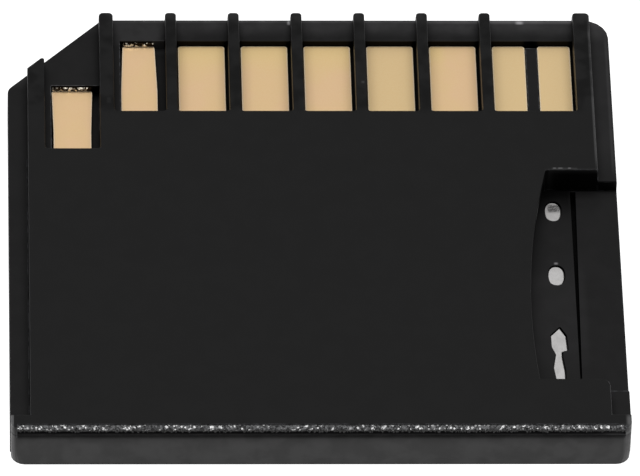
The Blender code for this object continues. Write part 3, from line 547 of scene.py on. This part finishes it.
def plastic_material(name, color, settings, places):
    """Black moulded plastic with grain, clouds, painted corner shade, painted edge highlights and its
    table's places.
    """
    material, tree, inputs = new_material(name)
    grain = group_node(
        tree, "Moulded grain", grain_size=settings.grain_size, cloud_size=settings.cloud_size)
    tint = color
    # Painted highlights, sheen and glints in the lighter places, with a few nicks and marks among them.
    for *box, factor in places["lighter"]:
        tint = mix_color(tree, place_mask(tree, *box), tint, scaled(color, factor))

    # Painted highlights along the edges, broken in patches, with none in calm places.
    edge_highlights = group_node(
        tree, "Painted edge highlights", width=settings.edge_width, patch_size=0.30 * MM, cover=0.5)["Edge"]
    for box in places["calm"]:
        edge_highlights = product(tree, edge_highlights, inverse(tree, place_mask(tree, *box)))
    tint = mix_color(tree, edge_highlights, tint, settings.edge_highlight_color)

    faint_level = 0.06
    cloud = inverse(tree, grain["Cloud"])
    clouded = product(tree, cloud, faint_level)
    for *box, level in places["cloudy"]:
        patch = product(tree, place_mask(tree, *box), cloud)
        clouded = math_node(tree, "MAXIMUM", clouded, product(tree, patch, level))
    tint = mix_color(tree, clouded, tint, BLACK)

    # Painted shade in corners and gaps, and in the dark places.
    shade = group_node(tree, "Shaded corners", reach=settings.shade_reach)["Shade"]
    for *box, level in places["dark"]:
        shade = math_node(tree, "MAXIMUM", shade, product(tree, place_mask(tree, *box), level))
    tint = mix_color(tree, shade, tint, BLACK)

    # Painted light over the shade in some places.
    for *box, factor in places["painted_light_in_shade"]:
        tint = mix_color(tree, place_mask(tree, *box), tint, scaled(color, factor))
    tree.links.new(tint, inputs["Base Color"])

    coat = settings.gloss
    for *box, level in places["glossy"]:
        coat = smooth_step(tree, place_mask(tree, *box), 0.0, 1.0, coat, level)
    # The gloss fades out where shade is painted.
    coat = product(tree, inverse(tree, shade), coat)
    # Clouds dull the gloss too, by up to about a quarter.
    between_clouds, dulling = 1.06, 0.5
    dulled = math_node(tree, "SUBTRACT", between_clouds, product(tree, clouded, dulling))
    tree.links.new(product(tree, dulled, coat), inputs["Coat Weight"])
    inputs["Coat Roughness"].default_value = settings.roughness
    inputs["Specular IOR Level"].default_value = 0.05
    add_grain(
        tree, inputs, grain["Height"], settings.roughness, swing=0.04, depth=0.006 * MM, strength=0.35)
    return material


def gold_material(settings):
    """Pale gold plating with faint clouds of tint and a painted highlight along each pad's rim."""
    material, tree, inputs = new_material("Pale gold plating")
    gold = settings.gold_color
    grain = group_node(tree, "Moulded grain", grain_size=0.05 * MM, cloud_size=1.6 * MM)
    # Painted highlight along each pad's rim.
    rim = group_node(tree, "Painted edge highlights", width=0.12 * MM, patch_size=0.5 * MM, cover=0.8)["Edge"]
    tint = mix_color(tree, grain["Cloud"], gold, shaded(gold, CLOUDED_GOLD))
    for *box, shades in PAD_TINTS:
        tint = mix_color(tree, place_mask(tree, *box), tint, shaded(gold, shades))
    tree.links.new(mix_color(tree, rim, tint, settings.rim_color), inputs["Base Color"])
    inputs["Metallic"].default_value = 1
    add_grain(
        tree, inputs, grain["Height"], settings.gold_roughness, swing=0.05, depth=0.002 * MM, strength=0.2)
    return material


def steel_material(settings):
    """Plain matte sheet steel with painted shade on the first raised pad and on the sides of all three."""
    material, tree, inputs = new_material("Grip spring steel")
    steel = settings.steel_color
    grain = group_node(tree, "Moulded grain", grain_size=0.05 * MM, cloud_size=0.5 * MM)
    tint = mix_color(tree, grain["Cloud"], scaled(steel, 0.93), scaled(steel, 1.05))
    blotches = smooth_step(tree, grain["Height"], 0.35, 0.6, 0.3, 1.0)
    # Painted shade on the first raised pad, broken into blotches.
    pad_shade = product(tree, place_mask(tree, *PAD_SHADE), blotches)
    tint = mix_color(tree, pad_shade, tint, scaled(steel, 0.06))
    # Painted shade on the raised pads' sides, below the level of their tops.
    tint = mix_color(tree, place_mask(tree, *RAISED_TOPS), scaled(steel, 0.04), tint)
    tree.links.new(tint, inputs["Base Color"])
    inputs["Metallic"].default_value = 1
    add_grain(
        tree, inputs, grain["Height"], roughness=0.525, swing=0.075, depth=0.002 * MM, strength=0.2)
    return material


def torn_material(settings, plastic, middle, slope, half_width):
    """Torn plastic: dull between stretched facets, with a painted highlight and white painted glints
    mid-band.
    """
    material, tree, inputs = new_material("Torn plastic lip")
    facets = group_node(tree, "Torn facets", facet_size=settings.speck_size)
    level = facets["Level"]
    grey = mix_color(tree, smooth_step(tree, level, 0.0, 0.9), TORN_DARK, TORN_LIGHT)
    # Painted glints: the palest facets turn nearly white.
    bright = mix_color(tree, smooth_step(tree, level, 0.82, 0.95), grey, WHITE)

    # Distance from the band's middle, as a share of its half width. Bright facets reach further out.
    drop = vector_node(tree, "SUBTRACT", object_place(tree), middle)
    drop = vector_node(tree, "DOT_PRODUCT", drop, slope)
    off = math_node(tree, "DIVIDE", math_node(tree, "ABSOLUTE", drop), half_width)
    off = math_node(tree, "ADD", off, product(tree, math_node(tree, "SUBTRACT", level, 0.5), -0.3))
    # Painted highlight: pale facets and glints fade to the plain plastic away from the band's middle.
    tint = mix_color(tree, smooth_step(tree, off, 0.15, 1.0), bright, plastic)
    tree.links.new(tint, inputs["Base Color"])
    inputs["Roughness"].default_value = 0.4
    inputs["Specular IOR Level"].default_value = 0.3
    add_bump(tree, inputs, facets["Height"], distance=0.02 * MM, strength=0.6)
    return material


def sheared_material(settings, plating):
    """Sheared metal: dark burr with bright nicks of bare plating."""
    material, tree, inputs = new_material("Sheared metal edge")
    facets = group_node(tree, "Torn facets", facet_size=settings.speck_size * 1.5)
    nicks = smooth_step(tree, facets["Level"], 0.45, 0.8)
    tree.links.new(mix_color(tree, nicks, BURR_DARK, scaled(plating, 0.95)), inputs["Base Color"])
    inputs["Metallic"].default_value = 1
    inputs["Roughness"].default_value = 0.5
    add_bump(tree, inputs, facets["Height"], distance=0.02 * MM, strength=0.5)
    return material


def put_on(item, material):
    """The material takes the place of every one in the object's slots."""
    if not item.material_slots:
        item.data.materials.append(material)
    for slot in item.material_slots:
        slot.link = "OBJECT"
        slot.material = material


def add_piece(context, name, shape, material):
    """Turns a bmesh into a piece that rides on the adapter."""
    mesh = bpy.data.meshes.new(name)
    bmesh.ops.recalc_face_normals(shape, faces=shape.faces)
    shape.to_mesh(mesh)
    shape.free()
    piece = bpy.data.objects.new(name, mesh)
    context.scene.collection.objects.link(piece)
    put_on(piece, material)
    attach(piece, "root")


def ragged_strip(start, along, across, outward, columns, rows, swell, ragged, hang, rng):
    """Rough strip of facets between two lines.

    It swells by one height along its middle and is ragged by another, and its far edge hangs lower by up
    to a share of its width.
    """
    shape = bmesh.new()
    grid = []
    for i in range(columns + 1):
        drop = 1 + hang * rng.random() ** 2
        column = []
        for j in range(rows + 1):
            share = j / rows
            # The raggedness is 0 on the border and full a little way in.
            inside = min(1.0, 4 * min(share, 1 - share), i / 3, (columns - i) / 3)
            rise = swell * math.sin(math.pi * share) + ragged * rng.uniform(-0.3, 1.0) * inside
            shift = rng.uniform(-0.35, 0.35) if 0 < i < columns else 0.0
            place = start + along * ((i + shift) / columns) + across * (share * drop) + outward * rise
            column.append(shape.verts.new(place))
        grid.append(column)
    for left, right in zip(grid, grid[1:]):
        for j in range(rows):
            shape.faces.new((left[j], left[j + 1], right[j + 1], right[j]))
    return shape


class FinishShells(bpy.types.Operator):
    """Gives both shells their moulded black plastic."""

    bl_idname = "card_adapter.finish_shells"
    bl_label = "Finish the Shells"

    def execute(self, context):
        settings = context.scene.adapter_plastic
        plate = plastic_material("Plate plastic", settings.plate_color, settings, PLATE_PLACES)
        bar = plastic_material("Bar plastic", settings.bar_color, settings, BAR_PLACES)
        put_on(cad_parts["contact_side_shell"], plate)
        put_on(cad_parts["label_side_shell"], bar)
        return {"FINISHED"}


class FinishContacts(bpy.types.Operator):
    """Gives the contacts their gold plating and rolled rims."""

    bl_idname = "card_adapter.finish_contacts"
    bl_label = "Finish the Contacts"

    def execute(self, context):
        settings = context.scene.adapter_metal
        gold = gold_material(settings)
        for name in CONTACTS:
            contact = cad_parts[name]
            put_on(contact, gold)
            weld = contact.modifiers.new("Joined edges", "WELD")
            weld.merge_threshold = 0.001 * MM
            rim = contact.modifiers.new("Rolled rim", "BEVEL")
            rim.width = settings.rim_width
            rim.segments = 2
            rim.limit_method = "ANGLE"
            rim.angle_limit = math.radians(50)
        return {"FINISHED"}


class FinishGripSpring(bpy.types.Operator):
    """Gives the grip spring its steel."""

    bl_idname = "card_adapter.finish_grip_spring"
    bl_label = "Finish the Grip Spring"

    def execute(self, context):
        put_on(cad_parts["card_grip_spring"], steel_material(context.scene.adapter_metal))
        return {"FINISHED"}


class AddTornLip(bpy.types.Operator):
    """Adds the rough torn band along the rear lip."""

    bl_idname = "card_adapter.add_torn_lip"
    bl_label = "Add the Torn Lip"

    def execute(self, context):
        settings = context.scene.adapter_trim
        half = CAD_HIGH.x - settings.lip_end_room
        below_top = 0.02 * MM
        top = Vector((-half, CAD_LOW.y + settings.lip_depth, CAD_HIGH.z - below_top))
        across = Vector((0, -settings.lip_depth, -settings.lip_height))
        outward = Vector((0, -settings.lip_height, settings.lip_depth)).normalized()
        shape = ragged_strip(
            top, Vector((2 * half, 0, 0)), across, outward, columns=640, rows=8, swell=settings.lip_swell,
            ragged=settings.lip_roughness, hang=0.35, rng=random.Random(settings.seed))
        # Middle of the painted highlight, a little above the band's centre line.
        to_middle = 0.47
        plastic = context.scene.adapter_plastic.plate_color
        material = torn_material(
            settings, plastic, top + across * to_middle, across.normalized(), to_middle * across.length)
        add_piece(context, "torn_lip", shape, material)
        return {"FINISHED"}


class AddShearedEdges(bpy.types.Operator):
    """Adds the sparkling sheared metal edge in front of the first and the last pad."""

    bl_idname = "card_adapter.add_sheared_edges"
    bl_label = "Add the Sheared Edges"

    def execute(self, context):
        settings = context.scene.adapter_trim
        material = sheared_material(settings, context.scene.adapter_metal.rim_color)
        rng = random.Random(settings.seed + 1)
        end_length, side_room = 0.3 * MM, 0.04 * MM
        sink, rise = 0.02 * MM, 0.20 * MM
        across = Vector((0, -0.06 * MM, -0.12 * MM))
        outward = Vector((0, -0.7, 0.7))
        for number in (1, 9):
            points = [v.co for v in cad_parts[f"contact_{number}"].data.vertices]
            front = max(p.y for p in points)
            end = [p for p in points if p.y > front - end_length]
            low, high = min(p.x for p in end), max(p.x for p in end)
            start = Vector((low + side_room, front - sink, max(p.z for p in end) + rise))
            shape = ragged_strip(
                start, Vector((high - low - 2 * side_room, 0, 0)), across, outward, columns=26, rows=3,
                swell=0.01 * MM, ragged=0.03 * MM, hang=0.3, rng=rng)
            add_piece(context, f"sheared_edge_{number}", shape, material)
        return {"FINISHED"}


class SetUpStage(bpy.types.Operator):
    """Adds the white floor, the soft light and the camera."""

    bl_idname = "card_adapter.set_up_stage"
    bl_label = "Set Up the Stage"

    def execute(self, context):
        settings = context.scene.adapter_stage
        scene = context.scene
        self.add_floor(scene, settings)
        self.add_lights(scene, settings)
        self.add_camera(scene, settings)
        scene.view_settings.view_transform = "Standard"
        return {"FINISHED"}

    def add_floor(self, scene, settings):
        """White floor, 3 m square, that is so bright that it has no visible shade."""
        mesh = bpy.data.meshes.new("floor")
        shape = bmesh.new()
        bmesh.ops.create_grid(shape, x_segments=1, y_segments=1, size=1.5)
        shape.to_mesh(mesh)
        shape.free()
        floor = bpy.data.objects.new("floor", mesh)
        floor.location.z = -0.02 * MM
        scene.collection.objects.link(floor)
        material, _, inputs = new_material("White floor")
        inputs["Base Color"].default_value = (0.3, 0.3, 0.3, 1)
        inputs["Roughness"].default_value = 0.8
        inputs["Specular IOR Level"].default_value = 0
        inputs["Emission Color"].default_value = (*WHITE, 1)
        inputs["Emission Strength"].default_value = settings.floor_light
        mesh.materials.append(material)

    def add_lights(self, scene, settings):
        """Even surround, and one large soft panel 1 m above the adapter."""
        world = bpy.data.worlds.new("Studio surround")
        world.use_nodes = True
        background = world.node_tree.nodes["Background"]
        background.inputs["Color"].default_value = (*WHITE, 1)
        background.inputs["Strength"].default_value = settings.sky_light
        scene.world = world
        data = bpy.data.lights.new("overhead_panel", "AREA")
        data.shape = "RECTANGLE"
        data.size, data.size_y = 1.1, 1.0
        data.energy = settings.panel_light
        panel = bpy.data.objects.new("overhead_panel", data)
        panel.location.z = 1.0
        scene.collection.objects.link(panel)

    def add_camera(self, scene, settings):
        """Camera at the photograph's place: behind the rear edge, looking down at the pads."""
        data = bpy.data.cameras.new("photo_camera")
        data.sensor_width = 36
        data.lens = settings.lens
        data.clip_start, data.clip_end = 0.01, 10
        camera = bpy.data.objects.new("photo_camera", data)
        ahead = Vector((0, math.cos(settings.elevation), -math.sin(settings.elevation)))
        sideways = Vector((1, 0, 0))
        forward = math.cos(settings.turn) * ahead + math.sin(settings.turn) * sideways
        right = math.cos(settings.turn) * sideways - math.sin(settings.turn) * ahead
        up = right.cross(forward)
        turn = Matrix((right, up, -forward)).transposed().to_4x4()
        middle = Vector((0, 0, 1 * MM))
        camera.matrix_world = Matrix.Translation(middle - forward * settings.distance) @ turn
        # The adapter stands a few pixels off the middle of the photograph, which is 640 pixels wide.
        data.shift_x = 5.9 / 640
        data.shift_y = -4.9 / 640
        scene.collection.objects.link(camera)
        scene.camera = camera


class AdapterPanel(bpy.types.Panel):
    """Sizes, colours and steps of the card adapter."""

    bl_idname = "VIEW3D_PT_card_adapter"
    bl_label = "Card Adapter"
    bl_space_type = "VIEW_3D"
    bl_region_type = "UI"
    bl_category = "Card Adapter"

    def draw(self, context):
        for group_name in SETTINGS:
            settings = getattr(context.scene, group_name)
            box = self.layout.box()
            for name in type(settings).__annotations__:
                box.prop(settings, name)
        for operator in OPERATORS:
            self.layout.operator(operator.bl_idname)


SETTINGS = {
    "adapter_plastic": AdapterPlasticSettings,
    "adapter_metal": AdapterMetalSettings,
    "adapter_trim": AdapterTrimSettings,
    "adapter_stage": AdapterStageSettings,
}
OPERATORS = (FinishShells, FinishContacts, FinishGripSpring, AddTornLip, AddShearedEdges, SetUpStage)


def register():
    """Registers the settings, operators and panel."""
    for name, settings in SETTINGS.items():
        bpy.utils.register_class(settings)
        setattr(bpy.types.Scene, name, PointerProperty(type=settings))
    for item in (*OPERATORS, AdapterPanel):
        bpy.utils.register_class(item)


def unregister():
    """Takes away what register added."""
    for item in reversed((*OPERATORS, AdapterPanel)):
        bpy.utils.unregister_class(item)
    for name, settings in SETTINGS.items():
        delattr(bpy.types.Scene, name)
        bpy.utils.unregister_class(settings)


def main():
    """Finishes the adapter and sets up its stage."""
    register()
    bpy.ops.card_adapter.finish_shells()
    bpy.ops.card_adapter.finish_contacts()
    bpy.ops.card_adapter.finish_grip_spring()
    bpy.ops.card_adapter.add_torn_lip()
    bpy.ops.card_adapter.add_sheared_edges()
    bpy.ops.card_adapter.set_up_stage()


if __name__ == "__main__":
    main()
